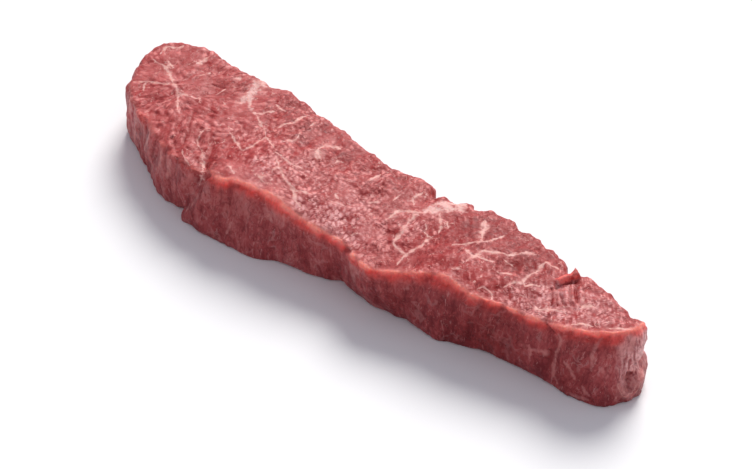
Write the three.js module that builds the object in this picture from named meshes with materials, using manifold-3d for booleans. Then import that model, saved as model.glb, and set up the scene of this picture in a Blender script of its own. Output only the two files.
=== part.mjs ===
// A raw Denver steak: one long slab of meat with a wide oblique end, a wavy cut front and a nicked back edge.
// Millimetres, +Z up. The steak lies along X on its flat underside, with the origin under its middle.
import * as THREE from 'three';
import Module from 'manifold-3d';
import { ImprovedNoise } from 'three/addons/math/ImprovedNoise.js';
import { mergeVertices } from 'three/addons/utils/BufferGeometryUtils.js';

// Driving dimensions
const THICKNESS = 24; // usual height of the slab at its rims
const CROWN = 1.2; // extra height along the middle of the top
const BULGE = 1.1; // how far the cut sides swell at half height
const RIM_ROUND = 0.9; // how far the sharp top rim is drawn in
const FOOT_ROUND = 0.8; // how far the bottom rim is drawn in
const SINK = 1.5; // depth of the sagging underside that the resting plane trims away
const BACK_LEAN = 1.5; // how far the hidden back side runs in under its rim
const SEGMENTS = { long: 104, across: 22, high: 10 };

// Rims of the top, as knots [x, y, height above THICKNESS], each from the front or left end onwards
const FRONT_RIM = [
  [-115.5, -3.5, -0.5], [-101, -13.5, -0.5], [-87, -20, 0], [-72, -25.5, 0], [-58, -28.5, 1],
  [-46, -27.5, 2], [-34, -25.2, 3], [-20, -25.6, 1.5], [-6, -26.2, -0.7], [6, -25.8, -2],
  [18, -29.2, -2.5], [26, -30.2, -2.7], [34, -27.5, -1.8], [43, -23.2, 0.5], [50, -22.2, 1.3],
  [60, -22.6, 0], [74, -20.3, 0], [90, -18.6, 0.2], [101, -16.6, 1.5], [108, -14.3, 2.5],
];
const BACK_RIM = [
  [-123.9, 27.6, 0], [-114.5, 30.6, 0.5], [-103, 34, 1], [-93, 31.8, 1], [-78, 30.8, 1], [-55, 30.2, 1],
  [-32, 25.8, 0], [-20, 22.8, 0], [-4, 20.2, 0], [10, 20.4, -0.5], [45, 21.8, 0], [62, 18, 0],
  [74, 14.2, 0], [97, 9.6, 0], [117.9, 2.2, 2.2],
];
const LEFT_RIM = [[-115.5, -3.5, -0.5], [-120.6, 6.6, -0.5], [-125.2, 15.8, -0.3], [-123.9, 27.6, 0]];
const RIGHT_RIM = [[108, -14.3, 2.5], [113.8, -10.2, 3], [117.2, -4.6, 3], [117.9, 2.2, 2.2]];

// Outline where the sides meet the resting plane, as knots [x, y]
const FRONT_FOOT = [
  [-116, -4], [-103, -10.8], [-95, -15.4], [-88, -20.8], [-78.5, -26], [-67.5, -27], [-63.4, -31.4],
  [-57.5, -31.4], [-48, -32.6], [-37, -31.6], [-27, -32], [-20, -27.8], [-8, -26.2], [1, -24.2],
  [6.5, -20.8], [15, -24.2], [24, -24.8], [28.5, -23.6], [32.5, -25], [36, -23], [51, -26], [57, -24],
  [66, -20.8], [82, -19.2], [98, -20.4], [104, -21.4], [110.5, -20], [115.6, -18.4],
];
const LEFT_FOOT = [[-116, -4], [-121, 6.5], [-124, 16], [-122.5, 26]];
const RIGHT_FOOT = [[115.6, -18.4], [119.6, -12.8], [121.2, -5.2], [117.5, 3]];

// Nicks in the back edge: place along X, depth at the top and half width
const NICK_FADE = 0.35; // share of a nick's depth that is left at the underside
const BACK_NICKS = [
  { at: -70.5, depth: 2.2, width: 3 }, { at: -45, depth: 1.8, width: 4 }, { at: -34, depth: 0.9, width: 3 },
  { at: -4, depth: 1.7, width: 3.5 }, { at: 19.4, depth: 6, width: 2.2 }, { at: 26, depth: 5.6, width: 6 },
  { at: 36, depth: 4.8, width: 2.6 }, { at: 54.5, depth: 3.6, width: 2.6 }, { at: 67, depth: 1.2, width: 2 },
  { at: 82.8, depth: 5.6, width: 3.5 }, { at: 104, depth: 1.8, width: 2 }, { at: 110, depth: 2.2, width: 3 },
];

// Grooves in the surface: a line from one point to another, its depth and half width
const GROOVES = [
  { from: [-52, -29, 27], to: [-67.5, -28.5, 0], depth: 2.2, width: 2.5 }, // seam down the front side
  { from: [-54, -30, 25], to: [-58.5, -22.5, 26], depth: 1.6, width: 2.6 }, // the same seam over the top
  { from: [-58.5, -22.5, 26], to: [-67, -14.5, 26], depth: 0.7, width: 1.8 }, // left branch of the seam
  { from: [-58.5, -22.5, 26], to: [-62.5, -13, 26], depth: 0.7, width: 1.8 }, // right branch of the seam
  { from: [-95, -18, 26], to: [-96, -17, 10], depth: 1.3, width: 2.2 }, // notch in the wide end's rim
  { from: [-99.5, -16, 17], to: [-98.5, -16, 6], depth: 1, width: 1.8 }, // pleat below the notch
  { from: [-80.5, -23.5, 21], to: [-87, -22, 8], depth: 1.1, width: 1.6 }, // pleat beside it
  { from: [-69, -27.5, 22], to: [-72, -28, 8], depth: 0.8, width: 1.8 }, // pleat before the seam
  { from: [10, -29, 23], to: [17, -24, 0], depth: 1, width: 3 }, // fat seam in the front side
  { from: [89, -18, 25], to: [95, -19, 18], depth: 1.1, width: 2 }, // crease near the narrow end
  { from: [95, -19, 18], to: [95, -20, 0], depth: 0.7, width: 2.2 }, // the same crease lower down
  { from: [119, 4, 13.6], to: [118.4, -8.5, 10.5], depth: 4, width: 2.7 }, // hollow of the narrow end
  { from: [83, 0, 25], to: [87, 4.5, 25], depth: 1.2, width: 1.6 }, // tear under the flake
  { from: [87.6, 4.4, 25], to: [93, -3, 25], depth: 1.2, width: 1.5 }, // tear beside the flake
  { from: [81.8, -2, 25], to: [86.6, -9.8, 25], depth: 0.8, width: 1.5 }, // tear in front of the flake
];

// Natural unevenness: wavelength and height of each layer, and how much it is drawn out up the sides
const LUMPS = [
  { wave: 26, height: 1.1, drawn: 1 },
  { wave: 9, height: 0.7, drawn: 1.6 },
  { wave: 4.6, height: 0.5, drawn: 2.4 },
];

// Torn flake standing at the back edge: a low band whose far corner is drawn up into a spike
const FLAKE = {
  at: [83.9, 4.2, 23.5],
  length: 8,
  band: 2.5,
  height: 5,
  spike: 2.4,
  root: 2,
  thick: 1.2,
  bevel: 0.35,
  turn: 1,
  lean: -0.45,
};

const noise = new ImprovedNoise();
const bell = (distance, width) => Math.exp(-((distance / width) ** 2));

// One rim or foot edge as a smooth curve, with its height counted from the given level
function edge(knots, level) {
  const points = knots.map(([x, y, rise = 0]) => new THREE.Vector3(x, y, level + rise));
  return new THREE.CatmullRomCurve3(points, false, 'centripetal');
}

// The back edge's nicks pull a point towards the front
function nicked(point, share) {
  const cuts = BACK_NICKS.map(({ at, depth, width }) => depth * bell(point.x - at, width));
  const cut = cuts.reduce((sum, depth) => sum + depth);
  return point.setY(point.y - cut * share);
}

// A sheet spanned between four edges that meet at their ends (a Coons patch), with a share of the nicks
function sheet({ front, back, left, right }, nickShare) {
  const corner = (s, v) => (v ? back : front).getPointAt(s);
  const corners = [[0, 0], [1, 0], [0, 1], [1, 1]].map(([s, v]) => ({ s, v, point: corner(s, v) }));
  return (s, v) => {
    const point = new THREE.Vector3();
    point.addScaledVector(front.getPointAt(s), 1 - v);
    point.addScaledVector(nicked(back.getPointAt(s), nickShare), v);
    point.addScaledVector(left.getPointAt(v), 1 - s);
    point.addScaledVector(right.getPointAt(v), s);
    for (const c of corners) {
      const share = (c.s ? s : 1 - s) * (c.v ? v : 1 - v);
      point.addScaledVector(c.point, -share);
    }
    return point;
  };
}

const backFoot = BACK_RIM.map(([x, y]) => [x, y - BACK_LEAN]);
backFoot[0] = LEFT_FOOT.at(-1);
backFoot[backFoot.length - 1] = RIGHT_FOOT.at(-1);

const topEdges = {
  front: edge(FRONT_RIM, THICKNESS),
  back: edge(BACK_RIM, THICKNESS),
  left: edge(LEFT_RIM, THICKNESS),
  right: edge(RIGHT_RIM, THICKNESS),
};
const footEdges = {
  front: edge(FRONT_FOOT, -SINK),
  back: edge(backFoot, -SINK),
  left: edge(LEFT_FOOT, -SINK),
  right: edge(RIGHT_FOOT, -SINK),
};
const top = sheet(topEdges, 1);
const underside = sheet(footEdges, NICK_FADE);

// Depth of the grooves at a point
function grooveDepth(point) {
  const nearest = new THREE.Vector3();
  const line = new THREE.Line3();
  let depth = 0;
  for (const groove of GROOVES) {
    line.set(new THREE.Vector3(...groove.from), new THREE.Vector3(...groove.to));
    line.closestPointToPoint(point, true, nearest);
    depth = Math.max(depth, groove.depth * bell(nearest.distanceTo(point), groove.width));
  }
  return depth;
}

// Height of the natural lumps at a point
function lumpHeight({ x, y, z }) {
  return LUMPS.reduce(
    (sum, { wave, height, drawn }) => sum + height * noise.noise(x / wave, y / wave, z / (wave * drawn)),
    0,
  );
}

// Share of the way along an edge of the unit box, exact at both ends
function unitShare(coordinate) {
  const share = THREE.MathUtils.clamp(coordinate + 0.5, 0, 1);
  return Math.round(share * 1e6) / 1e6;
}

// How far a point of the cut sides is drawn in: round at both rims, swollen between them
function sideInset(h) {
  if (h === 1) return RIM_ROUND;
  if (h === 0) return FOOT_ROUND;
  return -BULGE * 4 * h * (1 - h);
}

// The slab: a box of many facets whose points are spread between underside and top, then given their relief
function slab() {
  const box = new THREE.BoxGeometry(1, 1, 1, SEGMENTS.long, SEGMENTS.across, SEGMENTS.high);
  box.deleteAttribute('normal');
  box.deleteAttribute('uv');
  const geometry = mergeVertices(box);
  const position = geometry.getAttribute('position');
  const drawnIn = [];
  for (let i = 0; i < position.count; i++) {
    const [s, v, h] = [position.getX(i), position.getY(i), position.getZ(i)].map(unitShare);
    const onSide = s === 0 || s === 1 || v === 0 || v === 1;
    const point = underside(s, v).lerp(top(s, v), h);
    if (h === 1) point.z += CROWN * Math.sin(Math.PI * v) * Math.sqrt(Math.sin(Math.PI * s));
    position.setXYZ(i, point.x, point.y, point.z);
    drawnIn.push(onSide ? sideInset(h) : 0);
  }
  geometry.computeVertexNormals();
  const normal = geometry.getAttribute('normal');
  for (let i = 0; i < position.count; i++) {
    const point = new THREE.Vector3().fromBufferAttribute(position, i);
    const out = new THREE.Vector3().fromBufferAttribute(normal, i);
    const relief = lumpHeight(point) - grooveDepth(point) - drawnIn[i];
    point.addScaledVector(out, relief);
    position.setXYZ(i, point.x, point.y, point.z);
  }
  return geometry;
}

// The flake: a thin leaning shard whose root is buried in the top
function flake() {
  const { at, length, band, height, spike, root, thick, bevel, turn, lean } = FLAKE;
  const end = length / 2;
  const tip = 0.8 * end;
  const outline = new THREE.Shape();
  outline.moveTo(-end, -root);
  outline.lineTo(-end, band / 2);
  outline.quadraticCurveTo(-0.6 * end, band, 0, band);
  outline.lineTo(tip - spike, band);
  outline.quadraticCurveTo(tip - spike / 4, band, tip, height);
  outline.lineTo(end, 0.8 * band);
  outline.lineTo(end, -root);
  const geometry = new THREE.ExtrudeGeometry(outline, {
    depth: thick,
    curveSegments: 5,
    bevelThickness: bevel,
    bevelSize: bevel,
    bevelSegments: 1,
  });
  geometry.rotateX(Math.PI / 2 + lean);
  geometry.rotateZ(turn);
  geometry.translate(...at);
  geometry.deleteAttribute('normal');
  geometry.deleteAttribute('uv');
  return mergeVertices(geometry);
}

const wasm = await Module();
wasm.setup();

function toSolid(geometry) {
  const vertProperties = new Float32Array(geometry.getAttribute('position').array);
  const triVerts = new Uint32Array(geometry.index.array);
  return new wasm.Manifold(new wasm.Mesh({ numProp: 3, vertProperties, triVerts }));
}

function toGeometry(solid) {
  const mesh = solid.getMesh();
  const geometry = new THREE.BufferGeometry();
  geometry.setAttribute('position', new THREE.BufferAttribute(mesh.vertProperties, 3));
  geometry.setIndex(new THREE.BufferAttribute(mesh.triVerts, 1));
  return geometry;
}

// The resting plane trims the underside flat
function restingBlock() {
  const size = new THREE.Vector3(400, 200, 20);
  const block = new THREE.BoxGeometry(size.x, size.y, size.z).translate(0, 0, -size.z / 2);
  block.deleteAttribute('normal');
  block.deleteAttribute('uv');
  return mergeVertices(block);
}

function steakGeometry() {
  const solid = toSolid(slab()).add(toSolid(flake())).subtract(toSolid(restingBlock()));
  const geometry = toGeometry(solid);
  geometry.computeBoundingBox();
  const middle = geometry.boundingBox.getCenter(new THREE.Vector3());
  geometry.translate(-middle.x, -middle.y, 0);
  geometry.computeVertexNormals();
  return geometry;
}

const rawMeat = new THREE.MeshStandardMaterial({ color: 0xa8504e, roughness: 0.42, metalness: 0 });
const steak = new THREE.Mesh(steakGeometry(), rawMeat);
steak.name = 'steak';

const part = new THREE.Group();
part.add(steak);

export default part;
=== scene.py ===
"""A raw Denver steak on a pale floor: a soft, moist slab of cut beef with marbling, fat and torn edges."""
import math

import bmesh
import bpy
import numpy as np
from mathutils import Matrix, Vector, noise
from mathutils.bvhtree import BVHTree
from mathutils.kdtree import KDTree


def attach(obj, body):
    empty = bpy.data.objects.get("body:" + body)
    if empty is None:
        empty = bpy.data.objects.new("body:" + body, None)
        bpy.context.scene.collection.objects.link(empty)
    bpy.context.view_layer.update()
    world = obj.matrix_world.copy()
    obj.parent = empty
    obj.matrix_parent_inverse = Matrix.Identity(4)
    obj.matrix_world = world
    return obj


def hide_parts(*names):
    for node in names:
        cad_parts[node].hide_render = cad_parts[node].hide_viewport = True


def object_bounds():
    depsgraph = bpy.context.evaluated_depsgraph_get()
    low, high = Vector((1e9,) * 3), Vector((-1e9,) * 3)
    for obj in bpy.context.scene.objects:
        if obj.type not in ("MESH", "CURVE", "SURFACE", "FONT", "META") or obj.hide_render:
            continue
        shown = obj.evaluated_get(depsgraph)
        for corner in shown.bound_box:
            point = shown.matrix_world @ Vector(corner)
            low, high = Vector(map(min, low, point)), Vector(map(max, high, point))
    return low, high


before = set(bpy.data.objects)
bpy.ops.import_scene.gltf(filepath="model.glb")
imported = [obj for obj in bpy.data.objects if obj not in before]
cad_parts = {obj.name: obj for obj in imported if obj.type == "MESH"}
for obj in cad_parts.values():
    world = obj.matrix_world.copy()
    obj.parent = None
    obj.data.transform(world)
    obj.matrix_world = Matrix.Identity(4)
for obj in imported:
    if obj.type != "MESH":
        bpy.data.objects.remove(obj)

CAD_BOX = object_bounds()
MM = 0.001
BEHIND = 2 * CAD_BOX[1][1]

# Camera: the photograph's viewing angle
IMAGE_SIZE = (752, 469)
SENSOR_MM = 36.0
CLIP_START = 0.01
VIEW_DOWN = math.radians(40.0)
VIEW_TURN = math.radians(37.8)
FOCAL_PX = 1914.0
CAMERA_AT = Vector((0.33465, -0.42335, 0.4557))

# Skin: step of the even mesh over the solid, and rounds of averaging that smooth and sharpen it
SKIN_STEP = 0.57 * MM
WELD_REACH = 1e-6
FLAT_BELOW = 0.002 * MM
FACET_ROUNDS = 26
PUSH_OUT = 1.06
SHARP_ROUNDS = 30
SHARPEN = 2.0
EDGE_ROUNDS = 12
BROAD_ROUNDS = 50

# Ways that the surface faces, as parts of its normal, where the front rim is sharpened, frayed or ragged
SHARP_RISE = (0.0, 0.3)
SHARP_FLAT = (0.99, 0.93)
SHARP_FRONT = (0.2, -0.1)
SHARP_FROM = (-70 * MM, -50 * MM)
FRAY_RISE = (0.95, 0.85)
TOP_RISE = (0.4, 0.7)
TOP_FROM = (13 * MM, 18 * MM)
TOP_BEHIND_RIM = (0.2, 0.9)
BELOW_RIM = 0.8
UNDER_RISE = (-0.5, -0.85)
RAGGED_RISE = 0.62
RAGGED_SPREAD = 0.36
BACK_FACING = (-0.1, 0.3)

# Relief: heights and wavelengths in millimetres, with one wavelength or one for each axis
TOP_FRAY = 0.2
TOP_FRAY_WAVE = (3.0, 3.0, 7.0)
RIPPLES = [(0.35, 7.0), (0.22, 3.1)]
RAGGED = (0.9, (5.0, 5.0, 9.0))
JAGGED = 0.5
JAGGED_BACK = 0.2
JAGGED_WAVE = 2.6
PLEAT_WAVE = (3.4, 3.4, 15.0)
PLEAT_HEIGHT = 0.4
LOBE_PLEATS = 0.45
LOBE_PLEATS_FROM = (-60 * MM, -85 * MM)
LINE_WOBBLE = [(0.4, 2.6), (0.2, 1.2)]
CURVE_STEPS = 4
LINE_REACH = 5.0
LINE_TAPER = 0.55
TINY = 1e-18

# Fibre bundles: spacing in millimetres and how many times longer than wide, by place
LOBE_BUNDLE = (2.6, 3.1)
TOP_BUNDLE = (1.7, 2.3)
STREAK_BUNDLE = (1.35, 3.6)
SIDE_BUNDLE = (2.6, 4.5)
SEED = 7
NEIGHBOURS = 12
SIZE_SPREAD = (0.75, 1.4)
STRETCH_SPREAD = (0.8, 1.3)
BUNDLE_WOBBLE = 0.5
BUNDLE_WOBBLE_WAVE = 2.4
BUNDLE_HEIGHT = 0.2
BUNDLE_GAP = 0.45
SIDE_BULGE = 0.55

# How far single bundles stand up, tilt along and tilt across, as spreads
BUNDLE_SPREADS = (0.07, 0.07, 0.09)

# Where the bundles run: out from a star on the wide end, and as fine streaks on the narrow half
STAR = (178, 92)
STAR_REACH = (46 * MM, 26 * MM)
STAR_SWING = (1.1, 8.0)
LOBE_REACH = 40.0
LOBE_FADE = (46.0, 34.0)
LOBE_UNEVEN = (6.0, 9.0)
STREAKS_FROM = 26 * MM
STREAKS_FADE = 14 * MM
STREAKS_UNEVEN = (9.0 * MM, 11.0)
SWING = 0.9
SWING_STREAKS = 0.65
SWING_WAVE = 13.0
UPWARD_LEAN = 0.08
UPWARD_SWING = (0.4, 17.0)
CALM_WAVE = 15.0
CALM_STREAKS = 0.75
CALM_FLAT = 0.6
TOP_HEIGHT = 24.5 * MM

# Narrow cut end: its middle in millimetres, where it starts, and how pale its foot is
END_MIDDLE = (100, -4)
END_FROM = 108 * MM
END_FADE = 4 * MM
END_AHEAD = (0.84, 0.97)
END_HEIGHTS = (4 * MM, 11 * MM)
END_FOOT = 0.3

# Painted glow and highlight of light through the front rim, helped by the shader's scattering: how far down
# and back it reaches in millimetres, and its share by place
RIM_BINS = 110
RIM_ROUNDS = 2
RIM_RISE = 1.5
GLOW_REACH = 2.5
LIP_REACH = 1.6
EDGE_ROUND = 0.7
LIP_ROUND = 1.0
CREST_REACH = 0.85
GLOW_UNEVEN = [(0.7, 9.0), (0.9, (2.2, 2.2, 7.0))]
GLOW_SPREAD = 0.7
GLOW_LIMITS = (0.4, 2.2)
GLOW_PATCHES = (0.35, 14.0)
PATCH_LIMITS = (0.8, 1.0)
GLOW_START = -54 * MM
GLOW_FADE = 15 * MM
GLOW_END = 0.12
GLOW_TURN = 0.3
LOBE_GLOW = 0.16
NEAR_DIM = 0.22
NEAR_SPAN = (20 * MM, 40 * MM)

# Torn flake: its place, half length and half width in millimetres, its turn, and the height of its root
FLAKE_AT = (86.4, 3.3)
FLAKE_TURN = 1.0
FLAKE_REACH = (4.0, 1.8)
FLAKE_ROOT = 24.7 * MM
FLAKE_FADE = 1.2 * MM

# Other raw red places, given the flake's bright red with its painted glow: image point, radius in
# millimetres, amount
RED_LUMPS = [
    (141, 117, 2.6, 1.0),
    (554, 301, 1.5, 0.45),
    (573, 296, 1.4, 0.4),
    (581, 296, 1.5, 0.3),
]

# Painted pale sheen (positive) and redder places (negative) on the top: image point, radius in millimetres,
# amount
SHEEN_AND_REDDER_SPOTS = [
    (365, 215, 16, 0.45),
    (310, 170, 12, 0.4),
    (262, 176, 9, 0.5),
    (235, 128, 9, 0.25),
    (525, 292, 14, 0.3),
    (595, 312, 10, 0.4),
    (555, 302, 12, 0.4),
    (330, 222, 10, 0.3),
    (180, 80, 6, 0.25),
    (435, 254, 8, -0.9),
    (420, 225, 7, 0.2),
    (485, 260, 12, -0.75),
    (540, 278, 12, -0.2),
    (365, 215, 9, -0.2),
    (510, 236, 13, -0.8),
    (465, 228, 8, -0.5),
    (220, 78, 9, -0.3),
    (340, 160, 10, -0.3),
    (190, 159, 3, 0.5),
    (215, 152, 7, -0.25),
    (322, 222, 6, 0.75),
    (343, 238, 5, 0.7),
    (300, 207, 5, 0.6),
    (545, 300, 9, 0.4),
    (520, 298, 8, 0.45),
    (610, 318, 8, 0.3),
    (572, 308, 8, 0.5),
]

# Broad darker (negative) and paler places over top and sides, partly uneven tone of the meat, partly
# painted light: painted shade in the seam, along the foot and in the end's hollow and top, painted sheen
# where named so; image point, radius in millimetres, amount
SHADES = {
    "back_mid": (308, 128, 8, -0.38),
    "back_mid_far": (288, 108, 6, -0.25),
    "back_mid_near": (340, 155, 7, -0.24),
    "back_fat": (251, 82, 6, -0.34),
    "back_lobe": (213, 92, 6, -0.26),
    "back_corner": (388, 192, 9, -0.18),
    "ledge_front": (392, 214, 6, -0.2),
    "right_back": (480, 231, 8, -0.4),
    "right_far": (524, 249, 8, -0.28),
    "right_near": (524, 271, 7, -0.3),
    "lobe_far": (170, 64, 9, -0.12),
    # Painted shade in the seam
    "seam": (211, 164, 5, -0.38),
    "front_left": (222, 183, 6, -0.2),
    "knee": (244, 151, 11, 0.34),
    "front_sheen": (271, 178, 6, 0.22),
    "mid_sheen": (340, 220, 9, 0.14),
    "lobe_edge": (129, 107, 5, 0.5),
    "lobe_edge_low": (132, 121, 4, 0.5),
    "lobe_side": (151, 141, 6, 0.28),
    "lobe_side_near": (174, 162, 6, 0.18),
    "star": (174, 92, 5, 0.16),
    "right_sheen": (478, 279, 7, 0.24),
    "front_sheen_near": (432, 273, 5, 0.2),
    "strands": (568, 290, 7, 0.2),
    "near_sheen": (554, 315, 6, 0.18),
    # Painted shade along the foot of the sides
    "foot_mid": (395, 300, 9, -0.22),
    "foot_left": (228, 206, 5, -0.14),
    "foot_right": (484, 334, 13, -0.36),
    "foot_near": (571, 374, 5, -0.2),
    "side_mid": (268, 242, 9, 0.14),
    "side_near": (612, 378, 9, 0.26),
    # Painted shade in the end's hollow and top
    "end_hollow": (627, 375, 5, -0.34),
    "end_top": (629, 345, 4, -0.26),
    "end_edge": (641, 351, 2.5, 0.22),
}

# Places on the top that are cut smoother: image point, radius in millimetres, amount
CALM = [
    (150, 77, 8, 0.9),
    (200, 90, 8, 0.7),
    (167, 60, 8, 0.7),
    (218, 86, 8, 0.7),
    (190, 66, 8, 0.5),
    (180, 125, 7, -0.6),
    (300, 150, 9, -0.5),
    (365, 225, 9, -0.2),
    (566, 296, 7, 0.85),
]

# Marbling, and painted highlights along the rim: half width in millimetres, and image points along each
# vein
VEINS = {
    "star_arm": (0.5, (154, 60), (162, 65), (167, 70), (170, 75), (173, 82), (176, 87), (178, 92)),
    "star_foot": (0.42, (178, 92), (178, 97), (177, 103), (178, 110)),
    "star_right": (0.36, (178, 92), (183, 94), (188, 96)),
    "star_left": (0.26, (133, 81.5), (139, 82), (147, 81.5), (154, 82), (163, 84), (172, 84)),
    "star_left_drop": (0.2, (147, 81.5), (144, 86), (144, 91)),
    "far_cap": (0.4, (161, 54), (165, 49), (168, 46.5), (173, 48), (179, 48), (183, 46)),
    "far_dot": (0.6, (169.5, 64), (171, 66)),
    "far_streak": (0.6, (198, 63), (202, 61), (206.5, 58)),
    "far_dash": (0.36, (200, 75.5), (205, 74.5), (210, 74)),
    "far_fork": (0.28, (191, 96.5), (196, 98.7), (199, 97.5), (200.5, 102.5)),
    "far_line": (0.2, (216.5, 95), (222, 91), (226.5, 88)),
    "lobe_dash": (0.3, (201, 133), (205, 130), (209, 128.5)),
    "edge_dash": (0.4, (256, 114), (265, 113), (274, 111)),
    "edge_dot": (0.4, (277, 105), (279, 108), (285, 111)),
    "edge_fall": (0.3, (256, 114.5), (260, 122.5), (264, 129), (265.5, 135)),
    "knee_left": (0.34, (265.5, 137), (259, 141.5), (251, 146.5), (244, 150), (240, 147.5), (235, 140),
                        (229, 132)),
    "knee_right": (0.26, (265.5, 137), (270, 142), (274, 147.5)),
    "mid_sweep": (0.36, (278, 128), (285, 124), (293, 123), (299, 119), (309, 115.5)),
    "mid_dash": (0.26, (309, 127), (316, 122.5)),
    "mid_low": (0.24, (281, 141), (291, 141), (296, 139.5), (300, 133)),
    "mid_pale": (0.55, (319, 148.5), (327, 146), (333, 147), (339, 148.5)),
    "mid_patch": (0.9, (317.5, 151), (317, 155), (319, 158)),
    "long_top": (0.26, (275, 152), (282.5, 157), (290.5, 163.5), (303, 169)),
    "long": (0.38, (277, 159), (279, 166.5), (285, 179), (293.5, 189), (294.5, 199.5), (300.5, 206.5)),
    "long_right": (0.26, (293.5, 189), (302.5, 192), (310, 195)),
    "long_loop": (0.26, (272, 172.5), (273.5, 169.5), (279, 168)),
    "front_tick": (0.32, (226, 166), (230, 166.5), (233.5, 173.5)),
    "front_blot": (0.7, (259, 176), (262, 180)),
    "mid_tick": (0.3, (334, 163), (338, 162), (341.5, 162.5)),
    "mid_tick_low": (0.3, (335, 194.5), (338, 198.5)),
    "mid_arc": (0.22, (330, 201), (338.5, 203), (345, 206)),
    "back_arc": (0.3, (370, 181), (374, 178), (379, 175.5), (386.5, 174.5)),
    "back_dash": (0.34, (368, 203), (373, 202), (379, 202.5)),
    "back_hook": (0.36, (413, 205), (414, 199), (417, 195.5), (423, 192.5)),
    "back_curl": (0.24, (393, 201), (396, 197.5), (401, 194)),
    "ledge_arc": (0.55, (387, 219.5), (392, 215.5), (397, 212), (405.5, 211), (414, 212.5), (424, 212.5)),
    "ledge_fall": (0.52, (415, 213.5), (413, 218.5), (406.5, 225), (403.5, 231), (397, 238.5),
                         (393.5, 243.5)),
    "ledge_foot": (0.4, (393.5, 243.5), (396, 246.5), (399, 250), (405.5, 254.5)),
    "ledge_rise": (0.44, (397, 264.5), (402.5, 258.5), (406.5, 254.5), (414, 250), (421, 246),
                         (426, 241), (431.5, 237.5)),
    "ledge_turn": (0.24, (431.5, 237.5), (427.5, 235.5), (424, 232)),
    "ledge_drop": (0.42, (440, 214), (441, 222), (441, 228), (439, 233)),
    "ledge_dash": (0.34, (447.5, 222), (448, 228)),
    "ledge_tick": (0.24, (426.5, 224), (426.5, 230)),
    "right_post": (0.55, (485, 221.5), (485.5, 226.5), (483.5, 231), (482, 238), (480, 242)),
    "right_beam": (0.36, (453, 245), (463.5, 244.5), (472, 243), (480, 242), (489.5, 241), (496, 239),
                         (504, 236)),
    "right_chain": (0.42, (467, 261), (471, 258), (476, 256), (481.5, 251.5), (487.5, 251), (495, 252.5),
                          (503, 253)),
    "right_chain_far": (0.4, (503, 253), (508.5, 256), (514, 255), (522, 253.5), (528.5, 253),
                              (536, 255)),
    "right_spur": (0.36, (466, 250), (470, 254), (473, 257)),
    "right_tail": (0.3, (478, 257), (483.5, 258.5), (489.5, 261), (493, 261.5)),
    "right_dash": (0.36, (505.5, 261.5), (511.5, 265.5)),
    "flake_vein": (0.44, (523, 283), (526.5, 278), (531.5, 274), (537, 271), (541, 266), (546, 262)),
    "flake_vein_far": (0.34, (546, 262), (550.5, 265.5), (558, 269)),
    "front_chain": (0.3, (503, 287.5), (511.5, 284), (522, 283), (526, 286.5), (531.5, 284.5),
                          (540, 286.5)),
    "front_fork": (0.24, (478, 288.5), (483.5, 287.5), (489.5, 291.5), (492, 295), (492, 300)),
    "front_dash": (0.42, (454, 268), (459.5, 268.5)),
    "front_line": (0.3, (497, 272), (501, 274), (511.5, 274)),
    "near_line": (0.42, (536, 308), (540, 309.5), (550.5, 309.5), (561, 311.5)),
    "near_blot": (0.7, (582, 309), (586.5, 306), (591.5, 306)),
    "seam_top": (0.3, (210, 130), (202, 133), (198, 139), (198.5, 144), (202.5, 152)),
    "seam_line": (0.55, (202.5, 152), (203.5, 160), (203, 168), (202, 176), (199.5, 184)),
    # Painted highlights on the rim, drawn the same way as the veins
    "rim_painted_highlight": (0.42, (574, 324.5), (582, 324), (591, 326)),
    "rim_painted_highlight_near": (0.42, (611, 328.5), (621, 329), (631, 330)),
    "petal_rim": (0.2, (182, 150), (184, 158), (190, 165)),
    "end_lip": (0.3, (618.5, 384.5), (622, 392), (628, 394.5), (634, 389.5), (638, 382)),
}

# Faint pale lines on the cut sides, placed the same way
SIDE_LINES = {
    "near": (0.34, (603, 337), (598, 343.5), (594, 350), (592.5, 357), (592.5, 364), (591.5, 371)),
    "crease": (0.36, (558, 334.5), (561, 341), (558, 349), (555.5, 359), (553.5, 368), (553.5, 376),
                     (558, 384)),
    "loop": (0.32, (564, 360.5), (569, 368.5), (573, 375), (575.5, 380)),
    "dash": (0.28, (531, 350), (538, 350), (546, 352.5)),
    "dot": (0.5, (545, 352), (547, 353.5)),
    "fork": (0.26, (529, 344), (530.5, 350), (529, 359)),
    "foot": (0.4, (566.5, 392), (574.5, 396), (587.5, 399.5)),
    "mid": (0.3, (268, 213.5), (272, 222)),
    "mid_near": (0.3, (283, 214), (284.5, 221)),
    "left": (0.3, (232, 221), (229, 228), (226, 234)),
    "seam": (0.5, (199, 190), (194, 199), (188, 206), (184, 211)),
    "low_near": (0.26, (582, 385), (585, 392), (590, 396)),
    "wedge": (1.5, (351, 264), (352, 271)),
    "wedge_tip": (0.8, (352, 271), (353.5, 281)),
    "lobe_pleat": (0.6, (149.5, 134), (147, 142), (144.5, 149)),
    "lobe_pleat_low": (0.5, (162, 150), (160.5, 160), (158, 170)),
    "lobe_pleat_far": (0.5, (137, 122), (135, 132), (134.5, 140)),
    "lobe_pleat_near": (0.5, (171, 160), (169, 170), (167, 178)),
    "end_roll": (0.9, (640, 353), (644, 364), (641, 377), (634, 387)),
    "end_streak": (0.6, (633, 339), (632, 346), (630, 352)),
    "end_fold": (0.8, (618.5, 384), (622, 392), (629, 394.5), (635.5, 388.5)),
}

VEIN_WIDEN = 1.6
SIDE_WIDEN = 1.35

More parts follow.
